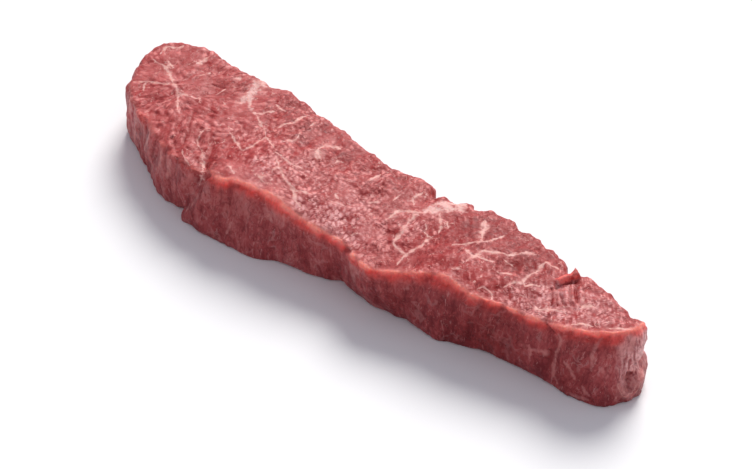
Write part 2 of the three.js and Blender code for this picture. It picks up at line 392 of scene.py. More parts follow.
# Pale lines on the back, which the photograph hides: half width, and points along and up, in millimetres
BACK_LINES = {
    "fat_wide": (1.6, (-71, 25), (-71.5, 20), (-70.5, 15)),
    "fat_wide_tail": (0.7, (-70.5, 15), (-69, 9), (-70, 4)),
    "fat_ledge": (1.4, (32, 24), (33, 20), (34.5, 17)),
    "fat_ledge_tail": (0.5, (34.5, 17), (37, 12), (36, 6)),
    "lobe": (0.35, (-100, 23), (-97, 15), (-101, 8)),
    "far": (0.35, (-40, 24), (-36, 18), (-37, 12), (-32, 5)),
    "mid": (0.35, (-6, 23), (-9, 16), (-5, 10), (-6, 3)),
    "mid_branch": (0.3, (-9, 16), (-16, 12), (-18, 7)),
    "near": (0.35, (66, 23), (63, 16), (66, 9), (64, 3)),
    "tip": (0.3, (92, 22), (95, 14), (91, 6)),
}

# Broader fat, placed the same way
FAT = {
    "ledge": (1.9, (426, 211.5), (434, 209.5), (445, 209), (456, 208.5), (465, 207.5)),
    "ledge_back": (1.3, (437, 204), (446, 204), (455, 204.5), (464, 205)),
    "edge_root": (2.3, (261, 81.5), (257.5, 86)),
    "edge_patch": (2.3, (257, 87), (252.5, 91.5), (250, 94.5)),
    "edge_foot": (1.7, (249.5, 95.5), (245, 98.5), (242, 103)),
    "edge_tail": (0.55, (250, 97), (250.5, 108), (256, 114.5)),
    "edge_bead": (1.0, (237.5, 79), (239.5, 78.5)),
}

# Soft valleys, and ridges where the depth is negative: half width and depth in millimetres, image points
VALLEYS = {
    "seam": (2.0, 1.0, (204, 176), (200, 186), (193, 198), (183, 210)),
    "seam_left": (1.3, 0.6, (203, 178), (204, 163), (200, 148), (199, 139)),
    "seam_right": (1.3, 0.6, (203, 178), (207, 163), (212, 148), (216, 137)),
    "petal": (1.2, 0.5, (180, 146), (180, 154), (184, 163), (190, 170)),
    "lobe_rim": (1.6, 0.6, (171, 137), (174, 146), (176, 152)),
    "lobe_lump": (1.9, -1.1, (138, 113), (142, 118)),
    "strand_ridge_left": (0.9, -0.5, (554, 288), (554.5, 297), (554, 305)),
    "strand_ridge_mid": (0.9, -0.5, (565.5, 289), (566.5, 298), (566.5, 305)),
    "strand_ridge_right": (1.0, -0.6, (572.5, 288), (573.5, 297), (574, 304)),
    "strand_ridge_far": (1.0, -0.6, (580, 288), (580.5, 297), (580, 304)),
    "end_fill": (2.6, -1.4, (630, 367), (632, 376)),
    "end_lip": (0.9, -0.9, (619, 385), (622.5, 392.5), (629, 395), (635.5, 389), (638.5, 381)),
    "end_cup": (1.8, 0.8, (626, 374), (627.5, 381), (629, 387)),
    "flake_fill": (1.5, -1.1, (560, 287), (568, 287.5), (575, 287)),
    "lobe_rim_far": (1.4, 0.6, (157, 127), (160, 133), (163, 141)),
}

# Creases and tears, pressed in and darkened with painted shade: half width and depth in millimetres, image
# points
TEARS = {
    "seam_crevice": (0.9, 0.9, (203, 183), (201, 187), (199, 192)),
    "seam_low": (0.5, 0.7, (199, 190), (193, 198), (187, 204), (181, 209)),
    "seam_right": (0.4, 0.6, (216, 136), (213, 144), (210, 152), (208, 159), (206, 166), (203, 178)),
    "petal_right": (0.35, 0.35, (186, 147), (191, 150.5), (196, 157), (199, 165)),
    "lobe_fold": (0.8, 0.5, (146.5, 127), (145.5, 135), (144, 144)),
    "lobe_fold_low": (0.7, 0.5, (155, 141), (153, 150), (151, 158)),
    "lobe_fold_near": (0.7, 0.5, (166, 149), (165, 158), (163, 168)),
    "lobe_fold_right": (0.7, 0.5, (177, 157), (176, 166), (174, 176)),
    "lobe_crack_far": (0.4, 0.5, (160, 103), (163.5, 106), (167.5, 110)),
    "lobe_crack_left": (0.35, 0.45, (152, 120), (160, 121), (167, 124)),
    "lobe_crack_mid": (0.4, 0.55, (193.5, 111), (191, 118), (189, 125), (188.5, 136)),
    "lobe_crack_low": (0.4, 0.5, (186, 133), (184.5, 140), (184, 146)),
    "lobe_crack_rim": (0.45, 0.6, (170, 135), (174, 143), (176, 150)),
    "back_crack": (0.4, 0.45, (211, 84), (219, 87), (226, 88.5)),
    "edge_pit": (0.7, 0.6, (246, 88), (243, 92)),
    "knee_crack": (0.35, 0.45, (243, 126), (238, 122), (232, 121)),
    "mid_crack": (0.4, 0.5, (335, 176), (341, 177.5), (347, 178)),
    "mid_pit": (0.6, 0.55, (303, 177.5), (304, 180)),
    "back_pit": (0.8, 0.6, (383, 184), (387, 187)),
    "flake_gap": (0.25, 0.3, (560, 283.5), (567, 284.5), (575, 283.5)),
    "slit_right": (0.7, 1.2, (575, 288), (575.5, 296), (577, 303)),
    "slit_left": (0.5, 0.9, (552, 288), (553, 297), (551, 306)),
    "slit_mid": (0.45, 0.8, (560, 293), (563, 304)),
    "strand_left": (0.35, 0.7, (556, 287), (556, 297), (557.5, 306)),
    "strand_right": (0.45, 0.8, (569, 289), (571, 298), (570, 306)),
    "strand_far": (0.35, 0.6, (583, 289), (584, 298), (581, 305)),
    "near_crease": (0.3, 0.35, (546, 323), (551, 328.5), (557, 335)),
    "near_shade": (0.9, 0.5, (551, 350), (551, 364)),
    "near_pit": (0.8, 0.6, (613, 347), (615, 349)),
    "end_fold": (0.5, 0.2, (624.5, 358), (624, 368), (623, 379)),
    "end_fold_mid": (0.4, 0.2, (629, 360), (629, 370), (627.5, 380)),
    "end_fold_right": (0.5, 0.4, (634, 354), (636, 364), (633.5, 376)),
}
TEAR_SPREAD = 1.6

# Tears whose painted shade is darker than the rest's, and by how much
DEEP_TEARS = {"slit_right": 2.4, "slit_left": 2.2, "slit_mid": 1.5, "strand_left": 1.8, "strand_right": 1.6,
              "end_fold": 1.25, "end_fold_mid": 1.35, "end_fold_right": 1.45}


# Camera and image rays
def add_camera():
    data = bpy.data.cameras.new("camera")
    data.sensor_width = SENSOR_MM
    data.lens = FOCAL_PX / IMAGE_SIZE[0] * SENSOR_MM
    data.clip_start = CLIP_START
    camera = bpy.data.objects.new("camera", data)
    camera.location = CAMERA_AT
    camera.rotation_euler = (math.pi / 2 - VIEW_DOWN, 0.0, VIEW_TURN)
    bpy.context.scene.collection.objects.link(camera)
    bpy.context.scene.camera = camera


def image_ray(point):
    """Direction from the camera through an image point."""
    right = Vector((math.cos(VIEW_TURN), math.sin(VIEW_TURN), 0.0))
    level = Vector((-math.sin(VIEW_TURN), math.cos(VIEW_TURN), 0.0))
    ahead = level * math.cos(VIEW_DOWN) - Vector((0, 0, 1)) * math.sin(VIEW_DOWN)
    up = right.cross(ahead)
    across = (point[0] - IMAGE_SIZE[0] / 2) / FOCAL_PX
    below = (point[1] - IMAGE_SIZE[1] / 2) / FOCAL_PX
    return (ahead + right * across - up * below).normalized()


def on_top(point):
    """Where an image point lies at the height of the steak's top."""
    ray = image_ray(point)
    return np.array(CAMERA_AT + ray * ((TOP_HEIGHT - CAMERA_AT.z) / ray.z))


# Small array helpers
def smooth_step(low, high, value):
    share = np.clip((value - low) / (high - low), 0.0, 1.0)
    return share * share * (3.0 - 2.0 * share)


def unit_rows(rows):
    """Each row scaled to a length of one."""
    return rows / np.linalg.norm(rows, axis=1)[:, None]


def row_dots(a, b):
    return np.einsum("ij,ij->i", a, b)


def noise_at(points, wave):
    """Smooth noise from about -1 to 1 at points, with one wavelength or one for each axis."""
    scaled = points / np.asarray(wave)
    return np.array([noise.noise(row) for row in scaled.tolist()])


def waves(points, *pairs):
    """Sum of smooth noises, each with its height and wavelength."""
    return sum(height * noise_at(points, wave) for height, wave in pairs)


def vector_noise(points, wave):
    """Smooth noise from about -1 to 1 along each axis, seeded so that every run gives the same."""
    noise.seed_set(SEED)
    return np.array([noise.noise_vector(row) for row in (points / wave).tolist()])


class Skin:
    """The even mesh over the solid as arrays, with its neighbours for averaging."""

    def __init__(self, mesh):
        self.mesh = mesh
        count = len(mesh.vertices)
        self.points = np.empty(count * 3)
        mesh.vertices.foreach_get("co", self.points)
        self.points = self.points.reshape(-1, 3)
        edges = np.empty(len(mesh.edges) * 2, dtype=np.int64)
        mesh.edges.foreach_get("vertices", edges)
        self.edges = edges.reshape(-1, 2)
        self.degree = np.bincount(edges, minlength=count)

    def average(self, field, rounds):
        """The field averaged with its neighbours, a number of times."""
        a, b = self.edges.T
        count = len(self.degree)
        field = np.array(field, dtype=float)
        flat = field.reshape(count, -1)
        for _ in range(rounds):
            total = np.empty_like(flat)
            for axis in range(flat.shape[1]):
                total[:, axis] = np.bincount(a, flat[b, axis], count) + np.bincount(b, flat[a, axis], count)
            flat = 0.5 * flat + 0.5 * total / self.degree[:, None]
        return flat.reshape(field.shape)

    def rounded(self, rounds):
        """Points with their facets smoothed away, each pull inwards undone by a push outwards."""
        points = self.points
        for _ in range(rounds):
            points = self.average(points, 1)
            points = points - PUSH_OUT * (self.average(points, 1) - points)
        return points

    def push(self, ways, amounts):
        """Moves every point its own way, by an amount in millimetres."""
        self.points = self.points + ways * (amounts * MM)[:, None]

    def write(self):
        self.mesh.vertices.foreach_set("co", self.points.ravel())
        self.mesh.update()

    def normals(self):
        self.write()
        found = np.empty(len(self.degree) * 3)
        self.mesh.vertices.foreach_get("normal", found)
        return found.reshape(-1, 3)

    def tree(self):
        faces = [tuple(p.vertices) for p in self.mesh.polygons]
        return BVHTree.FromPolygons(self.points.tolist(), faces)

    def store(self, **fields):
        """Keeps fields on the mesh by name, for the material."""
        for name, values in fields.items():
            attribute = self.mesh.attributes.new(name, "FLOAT", "POINT")
            attribute.data.foreach_set("value", np.asarray(values, dtype=np.float32))


def even_mesh(node):
    """An even mesh of fine quads over a CAD node."""
    rough = bpy.data.objects.new("rough", node.data.copy())
    bpy.context.scene.collection.objects.link(rough)
    welded = bmesh.new()
    welded.from_mesh(rough.data)
    bmesh.ops.remove_doubles(welded, verts=welded.verts, dist=WELD_REACH)
    welded.to_mesh(rough.data)
    welded.free()
    remesh = rough.modifiers.new("even", "REMESH")
    remesh.mode = "VOXEL"
    remesh.voxel_size = SKIN_STEP
    graph = bpy.context.evaluated_depsgraph_get()
    mesh = bpy.data.meshes.new_from_object(rough.evaluated_get(graph))
    mesh.materials.clear()
    bpy.data.objects.remove(rough)
    return mesh


def join_flat_faces(mesh):
    """Makes the many small faces of the flat underside into a few."""
    found = bmesh.new()
    found.from_mesh(mesh)
    flat = [f for f in found.faces if all(v.co.z < FLAT_BELOW for v in f.verts)]
    bmesh.ops.delete(found, geom=flat, context="FACES")
    open_edges = [e for e in found.edges if e.is_boundary]
    filled = bmesh.ops.holes_fill(found, edges=open_edges, sides=0)
    bmesh.ops.triangulate(found, faces=filled["faces"])
    found.to_mesh(mesh)
    found.free()


# Lines laid on the surface
def curve_points(points):
    """Points along a smooth curve through the given ones."""
    knots = [Vector(p) for p in points]
    knots = [2 * knots[0] - knots[1]] + knots + [2 * knots[-1] - knots[-2]]
    path = []
    for a, b, c, d in zip(knots, knots[1:], knots[2:], knots[3:]):
        slope = c - a
        bend = 2 * a - 5 * b + 4 * c - d
        twist = 3 * b - a - 3 * c + d
        for step in range(CURVE_STEPS):
            t = step / CURVE_STEPS
            path.append(0.5 * (2 * b + slope * t + bend * t**2 + twist * t**3))
    return path + [knots[-2]]


def seen_on(tree, point):
    """The place on the surface that the camera sees at an image point, or None."""
    return tree.ray_cast(CAMERA_AT, image_ray(point))[0]


def lay_on(tree, points):
    """The curve through image points, carried along the camera's rays onto the surface."""
    hits = [seen_on(tree, point) for point in curve_points(points)]
    return np.array([hit for hit in hits if hit is not None])


def lay_on_back(tree, points):
    """The curve through points along the length and up, carried onto the back side."""
    starts = [Vector((x * MM, BEHIND, z * MM)) for x, z in curve_points(points)]
    hits = [tree.ray_cast(start, Vector((0, -1, 0)))[0] for start in starts]
    return np.array([hit for hit in hits if hit is not None])


def line_field(points, normals, lines):
    """Signed distance to the nearest line, in its half widths, and the same without its sign."""
    near = np.full(len(points), LINE_REACH)
    side = np.full(len(points), LINE_REACH)
    for half_width, path in lines:
        half_width *= MM
        margin = half_width * LINE_REACH
        inside = np.all((points > path.min(0) - margin) & (points < path.max(0) + margin), axis=1)
        chosen = np.flatnonzero(inside)
        local, facing = points[chosen], normals[chosen]
        shares = np.linspace(-1.0, 1.0, len(path))
        widths = half_width * (1.0 - LINE_TAPER * shares**4)
        for a, b, width_a, width_b in zip(path, path[1:], widths, widths[1:]):
            along = b - a
            t = np.clip((local - a) @ along / (along @ along + TINY), 0.0, 1.0)
            offset = local - (a + t[:, None] * along)
            width = width_a + t * (width_b - width_a)
            ratio = np.linalg.norm(offset, axis=1) / width
            closer = ratio < near[chosen]
            sign = np.sign(row_dots(np.cross(along, offset), facing))
            near[chosen[closer]] = ratio[closer]
            side[chosen[closer]] = (ratio * np.where(sign == 0, 1, sign))[closer]
    return side, near


# Round places on the surface
def blob_field(points, blobs, place=on_top):
    """Sum of soft round patches: image point, radius in millimetres, amount; place puts them in space."""
    total = np.zeros(len(points))
    for x, y, radius, amount in blobs:
        away = np.linalg.norm(points - np.array(place((x, y))), axis=1) / (radius * MM)
        total += amount * np.exp(-(away**2))
    return total


def end_share(points):
    """How much a place belongs to the cut end, whose foot is redder."""
    out = points[:, :2] - np.array(END_MIDDLE) * MM
    ahead = out[:, 0] / np.linalg.norm(out, axis=1)
    high = END_FOOT + (1.0 - END_FOOT) * smooth_step(*END_HEIGHTS, points[:, 2])
    return high * smooth_step(*END_AHEAD, ahead) * smooth_step(END_FROM, END_FROM + END_FADE, points[:, 0])


def flake_mask(points):
    """Raw red, brightened with painted glow of light through thin flesh: the torn flake that stands clear
    of the top near the narrow end, and a few lumps.
    """
    off = points[:, :2] - np.array(FLAKE_AT) * MM
    way = np.array((math.cos(FLAKE_TURN), math.sin(FLAKE_TURN)))
    along = np.abs(off @ way)
    across = np.abs(off @ np.array((-way[1], way[0])))
    inside = (along < FLAKE_REACH[0] * MM) & (across < FLAKE_REACH[1] * MM)
    flake = inside * smooth_step(FLAKE_ROOT, FLAKE_ROOT + FLAKE_FADE, points[:, 2])
    return np.maximum(flake, blob_field(points, RED_LUMPS))


# The front rim
def below_and_behind(points, along, out):
    """How far points lie below and behind the rim, the outermost high point of each bin, in millimetres."""
    place = np.digitize(along, np.linspace(along.min(), along.max(), RIM_BINS))
    order = np.argsort(RIM_RISE * points[:, 2] + out)
    edge = np.zeros(RIM_BINS + 1, dtype=int)
    edge[place[order]] = order
    line = edge[np.unique(place)]
    height, reach = points[line, 2].copy(), out[line].copy()
    for _ in range(RIM_ROUNDS):
        for values in (height, reach):
            values[1:-1] = (values[:-2] + 2 * values[1:-1] + values[2:]) / 4
    below = np.interp(along, along[line], height) - points[:, 2]
    behind = np.interp(along, along[line], reach) - out
    return np.maximum(below, 0.0) / MM, np.maximum(behind, 0.0) / MM


def rim_distances(points):
    """Distances below and behind the front rim, which turns the corner at the narrow end, and the share of
    its painted light.
    """
    x, y, _ = points.T
    below, behind = below_and_behind(points, x, -y)
    share = LOBE_GLOW + (1.0 - LOBE_GLOW) * smooth_step(GLOW_START, GLOW_START + GLOW_FADE, x)
    share -= NEAR_DIM * smooth_step(*NEAR_SPAN, x)
    turned = x > END_MIDDLE[0] * MM
    out = points[turned, :2] - np.array(END_MIDDLE) * MM
    angle = np.arctan2(out[:, 1], out[:, 0])
    around = below_and_behind(points[turned], angle, np.linalg.norm(out, axis=1))
    below[turned], behind[turned] = around
    share[turned] = (1.0 - NEAR_DIM) * smooth_step(GLOW_END + GLOW_TURN, GLOW_END, angle)
    return below, behind, share


def rim_glow(points):
    """Painted light through the front rim: the painted glow's share below the edge, the painted highlight's
    behind it on top, and the crest.
    """
    below, behind, share = rim_distances(points)
    grain = points / MM
    reach = np.clip(1.0 + GLOW_SPREAD * waves(grain, *GLOW_UNEVEN), *GLOW_LIMITS)
    glow = np.exp(-((below / (GLOW_REACH * reach)) ** 2) - (behind / EDGE_ROUND) ** 2)
    lip = np.exp(-((behind / (LIP_REACH * reach)) ** 2) - (below / LIP_ROUND) ** 2)
    share = share * np.clip(1.0 + waves(grain, GLOW_PATCHES), *PATCH_LIMITS)
    crest = np.exp(-((below / CREST_REACH) ** 2))
    return glow * share, lip * share, crest


# Fibre bundles
def scatter(points, spacing, random):
    """Indices of points picked at random, none nearer to another than the spacing."""
    places = (points / spacing).tolist()
    taken = {}
    around = [(i, j, k) for i in (-1, 0, 1) for j in (-1, 0, 1) for k in (-1, 0, 1)]
    chosen = []
    for index in random.permutation(len(places)).tolist():
        x, y, z = places[index]
        cell = (math.floor(x), math.floor(y), math.floor(z))
        close = (taken.get((cell[0] + i, cell[1] + j, cell[2] + k), ()) for i, j, k in around)
        if any((x - a) ** 2 + (y - b) ** 2 + (z - c) ** 2 < 1.0 for spots in close for a, b, c in spots):
            continue
        taken.setdefault(cell, []).append((x, y, z))
        chosen.append(index)
    return np.array(chosen)


def pick_bundles(points, kinds, random):
    """Indices of the bundles' middles, with their sizes and how many times longer than wide they are."""
    picked, size, stretch = [], [], []
    for mask, (spacing, longer) in kinds:
        among = np.flatnonzero(mask)
        found = among[scatter(points[among], spacing * MM, random)]
        picked.append(found)
        size.append(np.full(len(found), spacing * MM))
        stretch.append(np.full(len(found), longer))
    picked = np.concatenate(picked)
    size = np.concatenate(size) * random.uniform(*SIZE_SPREAD, len(picked))
    stretch = np.concatenate(stretch) * random.uniform(*STRETCH_SPREAD, len(picked))
    return picked, size, stretch


def bundle_fields(points, normals, centres, directions, stretch, size):
    """Each point's bundle, its distance to the next bundle, and its place along and across its own."""
    tree = KDTree(len(centres))
    for index, centre in enumerate(centres.tolist()):
        tree.insert(centre, index)
    tree.balance()
    near = np.array([[hit[1] for hit in tree.find_n(point, NEIGHBOURS)] for point in points.tolist()])
    offset = points[:, None, :] - centres[near]
    along = np.einsum("ijk,ijk->ij", offset, directions[near])
    reach = np.sum(offset**2, axis=2) + along**2 * (1.0 / stretch[near] ** 2 - 1.0)
    reach = np.sqrt(np.maximum(reach, 0.0)) / size[near]
    order = np.argsort(reach, axis=1)
    rows = np.arange(len(points))
    first, second = order[:, 0], order[:, 1]
    owner = near[rows, first]
    across = row_dots(np.cross(normals, directions[owner]), offset[rows, first])
    return owner, reach[rows, second] - reach[rows, first], along[rows, first], across


def streak_share(points):
    """How much a place belongs to the narrow half, where the cut fibres lie as fine streaks."""
    uneven = waves(points / MM, STREAKS_UNEVEN)
    return smooth_step(STREAKS_FROM, STREAKS_FROM + STREAKS_FADE, points[:, 0] + uneven)


def fibre_directions(points, top):
    """Grain of the meat: out from the star on the wide end, to the front elsewhere on top, up the sides."""
    grain = points / MM
    out = points - on_top(STAR)
    lobe = smooth_step(*STAR_REACH, np.linalg.norm(out, axis=1))[:, None]
    swing = (SWING - SWING_STREAKS * streak_share(points)) * noise_at(grain, SWING_WAVE)
    ahead = np.stack([-np.sin(VIEW_TURN + swing), np.cos(VIEW_TURN + swing), 0 * swing], axis=1)
    turn = np.arctan2(out[:, 1], out[:, 0]) + waves(grain, STAR_SWING)
    radial = np.stack([np.cos(turn), np.sin(turn), 0 * turn], axis=1)
    flat = lobe * radial + (1.0 - lobe) * ahead
    lean = UPWARD_LEAN + waves(grain, UPWARD_SWING)
    upward = np.stack([lean, 0 * lean, 1.0 + 0 * lean], axis=1)
    return np.where(top[:, None] > 0.5, flat, upward)


# The steak's surface
def smooth_form(skin):
    """Takes the facets away and sharpens the front rim; gives the broad way that each place faces."""
    skin.points = skin.rounded(FACET_ROUNDS)
    broad = unit_rows(skin.average(skin.normals(), BROAD_ROUNDS))
    upper = smooth_step(*SHARP_RISE, broad[:, 2]) * smooth_step(*SHARP_FLAT, broad[:, 2])
    upper = upper * smooth_step(*SHARP_FRONT, broad[:, 1]) * smooth_step(*SHARP_FROM, skin.points[:, 0])
    away = skin.points - skin.average(skin.points, SHARP_ROUNDS)
    skin.points = skin.points + SHARPEN * upper[:, None] * away
    return broad


def top_share(skin, broad):
    """How much a place belongs to the cut top, whose edge is frayed."""
    close = unit_rows(skin.average(skin.normals(), EDGE_ROUNDS))
    edge = smooth_step(*FRAY_RISE, broad[:, 2])
    fray = close[:, 2] + TOP_FRAY * edge * noise_at(skin.points / MM, TOP_FRAY_WAVE)
    height = skin.points[:, 2]
    top = smooth_step(*TOP_RISE, fray) * smooth_step(*TOP_FROM, height)
    below, behind, _ = rim_distances(skin.points)
    inside = smooth_step(*TOP_BEHIND_RIM, behind - BELOW_RIM * below)
    return np.maximum(top, inside * (height > TOP_FROM[1]))


def add_relief(skin, broad, grain, side, under):
    """Gives the meat its ripples, the rims their ragged edge and the sides their pleats."""
    rim = np.clip(1.0 - np.abs(broad[:, 2] - RAGGED_RISE) / RAGGED_SPREAD, 0.0, 1.0)
    back = smooth_step(*BACK_FACING, broad[:, 1])
    ragged = waves(grain, RAGGED) + (JAGGED + JAGGED_BACK * back) * noise_at(grain, JAGGED_WAVE)
    ripples = waves(grain, *RIPPLES)
    pleat = noise_at(grain, PLEAT_WAVE)
    folds = PLEAT_HEIGHT + LOBE_PLEATS * smooth_step(*LOBE_PLEATS_FROM, skin.points[:, 0])
    skin.push(skin.normals(), (1.0 - under) * (ripples + rim * ragged) + folds * side * pleat)
    skin.store(pleat=pleat)


def raise_bundles(skin, grain, top, side, under):
    """Raises the cut ends of the fibre bundles, each with its own height, tilt and tone."""
    random = np.random.default_rng(SEED)
    normals = skin.normals()
    star_away = np.linalg.norm(skin.points - on_top(STAR), axis=1) / MM + waves(grain, LOBE_UNEVEN)
    streaks = streak_share(skin.points)
    lobe = (top > 0.5) & (star_away < LOBE_REACH)
    streaky = (top > 0.5) & (streaks > 0.5)
    rest = (top > 0.5) & ~lobe & ~streaky
    sides = (top <= 0.5) & (under < 0.5)
    kinds = [(lobe, LOBE_BUNDLE), (rest, TOP_BUNDLE), (streaky, STREAK_BUNDLE), (sides, SIDE_BUNDLE)]
    picked, size, stretch = pick_bundles(skin.points, kinds, random)
    centres, facing = skin.points[picked], normals[picked]
    directions = fibre_directions(centres, top[picked])
    directions = unit_rows(directions - facing * row_dots(directions, facing)[:, None])
    uneven = skin.points + BUNDLE_WOBBLE * MM * vector_noise(grain, BUNDLE_WOBBLE_WAVE)
    owner, crack, along, across = bundle_fields(uneven, normals, centres, directions, stretch, size)
    tone = random.random(len(picked))
    lift, tilt_along, tilt_across = (random.normal(0.0, spread, len(picked)) for spread in BUNDLE_SPREADS)
    bulge = BUNDLE_HEIGHT * smooth_step(0.0, BUNDLE_GAP, crack) + lift[owner]
    bulge += (tilt_along[owner] * along + tilt_across[owner] * across) / MM
    calm = smooth_step(0.0, 0.5, noise_at(grain, CALM_WAVE)) * (1.0 - CALM_STREAKS * streaks)
    calm = np.clip(calm + blob_field(skin.points, CALM), 0.0, 1.0)
    bulge *= 1.0 - CALM_FLAT * calm
    skin.push(normals, skin.average(bulge, 1) * (top + SIDE_BULGE * side) * (1.0 - under))
    skin.store(tone=skin.average(tone[owner], 1), crack=crack, along=along / MM, across=across / MM)
    skin.store(calm=calm, streaks=streaks, lobe=smooth_step(*LOBE_FADE, star_away))


def cut_lines(skin, tree, broad):
    """Presses the valleys and tears into the surface, and stores where the tears get painted shade."""
    normals = skin.normals()
    for half_width, depth, *points in VALLEYS.values():
        _, near = line_field(skin.points, normals, [(half_width, lay_on(tree, points))])
        skin.push(-broad, np.exp(-(near**2)) * depth)
    tear = np.zeros(len(skin.points))
    for name, (half_width, depth, *points) in TEARS.items():
        _, near = line_field(skin.points, normals, [(half_width, lay_on(tree, points))])
        cut = np.exp(-(near**2) / TEAR_SPREAD)
        tear = np.maximum(tear, cut * DEEP_TEARS.get(name, 1.0))
        skin.push(-broad, cut * depth)
    skin.points[:, 2] = np.maximum(skin.points[:, 2], 0.0)
    skin.store(tear=tear)


def store_lines(skin, tree, grain):
    """Stores how far each place is from the marbling, the fat and the faint lines of the sides."""
    normals = skin.normals()
    wavy = skin.points + MM * sum(height * vector_noise(grain, wave) for height, wave in LINE_WOBBLE)
    veins = [(VEIN_WIDEN * width, lay_on(tree, points)) for width, *points in VEINS.values()]
    fat = [(width, lay_on(tree, points)) for width, *points in FAT.values()]
    faint = [(SIDE_WIDEN * width, lay_on(tree, points)) for width, *points in SIDE_LINES.values()]
    faint += [(width, lay_on_back(tree, points)) for width, *points in BACK_LINES.values()]
    vein_side, vein_near = line_field(wavy, normals, veins)
    skin.store(vein_side=vein_side, vein_near=vein_near)
    skin.store(fat_near=line_field(wavy, normals, fat)[1])
    skin.store(faint_near=line_field(wavy, normals, faint)[1])


def shape_skin(skin):
    """Gives the meat its form and relief, and stores the fields that the material reads."""
    broad = smooth_form(skin)
    top = top_share(skin, broad)
    under = smooth_step(*UNDER_RISE, broad[:, 2])
    side = (1.0 - top) * (1.0 - under)
    grain = skin.points / MM
    add_relief(skin, broad, grain, side, under)
    tree = skin.tree()
    raise_bundles(skin, grain, top, side, under)
    cut_lines(skin, tree, broad)
    store_lines(skin, tree, grain)
    points = skin.points
    glow, lip, crest = rim_glow(points)
    # rim is the share of the painted rim glow, crest where its painted edge highlight lies
    skin.store(top=top, rim=glow, lip=lip, crest=crest, flake=flake_mask(points), end=end_share(points))
    skin.store(milk=blob_field(points, SHEEN_AND_REDDER_SPOTS), height=np.clip(points[:, 2] / TOP_HEIGHT, 0.0, 1.0))
    skin.store(shade=blob_field(points, SHADES.values(), lambda point: seen_on(tree, point)))


# Materials
class Tree:
    """A material's node tree with short ways to add nodes."""

    def __init__(self, name):
        self.material = bpy.data.materials.new(name)
        self.material.use_nodes = True
        self.nodes = self.material.node_tree.nodes
        self.links = self.material.node_tree.links
        self.shader = self.nodes["Principled BSDF"]

    def add(self, kind, inputs=None, **settings):
        node = self.nodes.new("ShaderNode" + kind)
        for name, value in settings.items():
            setattr(node, name, value)
        for key, value in (inputs or {}).items():
            self.feed(node.inputs[key], value)
        return node

    def feed(self, socket, value):
        if isinstance(value, bpy.types.NodeSocket):
            self.links.new(value, socket)
        else:
            socket.default_value = value

    def math(self, operation, a, b=0.0):
        return self.add("Math", {0: a, 1: b}, operation=operation).outputs[0]

    def times(self, *parts):
        """Product of values."""
        result = parts[0]
        for value in parts[1:]:
            result = self.math("MULTIPLY", result, value)
        return result

    def total(self, *parts):
        """Sum of values, each times its weight."""
        result = 0.0
        for value, weight in parts:
            inputs = {0: value, 1: weight, 2: result}
            result = self.add("Math", inputs, operation="MULTIPLY_ADD").outputs[0]
        return result

    def span(self, value, low, high, start=0.0, end=1.0):
        """The value taken smoothly from low..high to start..end."""
        inputs = {"Value": value, "From Min": low, "From Max": high, "To Min": start, "To Max": end}
        return self.add("MapRange", inputs, interpolation_type="SMOOTHSTEP").outputs["Result"]

    def mix(self, share, a, b):
        node = self.add("Mix", data_type="RGBA")
        self.feed(node.inputs["Factor"], share)
        self.feed(node.inputs[6], a)
        self.feed(node.inputs[7], b)
        return node.outputs[2]

    def paint(self, colour, share, strength, over):
        """The colour with another one laid over it, by a share of a strength."""
        return self.mix(self.times(share, strength), colour, over)

    def scaled(self, vector, scale):
        return self.add("VectorMath", {0: vector, 1: scale}, operation="MULTIPLY").outputs[0]

    def vector(self, x, y, z):
        return self.add("CombineXYZ", {"X": x, "Y": y, "Z": z}).outputs[0]

    def noise(self, vector, scale, detail=2.0, rough=0.5, distortion=0.0, output="Fac"):
        inputs = {"Vector": vector, "Scale": scale, "Detail": detail, "Roughness": rough}
        return self.add("TexNoise", inputs | {"Distortion": distortion}).outputs[output]

    def contour(self, field, outer, inner):
        """Thin lines where a noise passes its middle."""
        return self.span(self.math("ABSOLUTE", self.math("SUBTRACT", field, 0.5)), outer, inner)

    def attribute(self, name):
        return self.add("Attribute", attribute_name=name).outputs["Fac"]


DEEP = (0.19, 0.014, 0.016, 1)
GAP = (0.26, 0.020, 0.022, 1)
LEAN = (0.36, 0.036, 0.035, 1)
# Pale bundle middles, partly painted wet sheen, and the painted milky sheen laid over them
BLOOM_AND_SHEEN = (0.73, 0.24, 0.225, 1)
PAINTED_SHEEN = (0.73, 0.31, 0.30, 1)
VEIN_EDGE = (0.64, 0.24, 0.22, 1)
VEIN = (0.82, 0.45, 0.395, 1)
FAT_PALE = (0.82, 0.48, 0.435, 1)
# Painted light: the rim's glow of light through it, the highlight on its crest and the highlight on the
# top's lip
PAINTED_RIM_GLOW = (1.0, 0.112, 0.092, 1)
PAINTED_EDGE_HIGHLIGHT = (1.0, 0.32, 0.255, 1)
PAINTED_TOP_LIP_HIGHLIGHT = (0.90, 0.36, 0.31, 1)
# Raw red of the flake, brightened with painted glow of light through it
FLAKE_RED_AND_GLOW = (0.95, 0.20, 0.17, 1)
FLAKE_DEEP = (0.6, 0.05, 0.045, 1)
# Darkest painted shade in the deepest tears and slits
SLIT = (0.27, 0.008, 0.010, 1)
SIDE_DEEP = (0.19, 0.018, 0.022, 1)
SIDE_LEAN = (0.36, 0.054, 0.056, 1)
SIDE_STREAK = (0.46, 0.115, 0.11, 1)
FLECK = (0.52, 0.21, 0.20, 1)
END_DEEP = (0.36, 0.065, 0.068, 1)
END_PALE = (0.86, 0.425, 0.405, 1)
# Strength of the painted shade in creases and tears
TEAR_SHADE_STRENGTH = 0.42
SHADE_REDS = 0.7
SHADE_OTHERS = 1.4
BUMP_STRENGTH = 0.58
BUMP_DEPTH = 0.4 * MM
SPECULAR = 0.17
GLOW_RADIUS = (1.0, 0.28, 0.18)
GLOW_DEPTH = 3.2 * MM


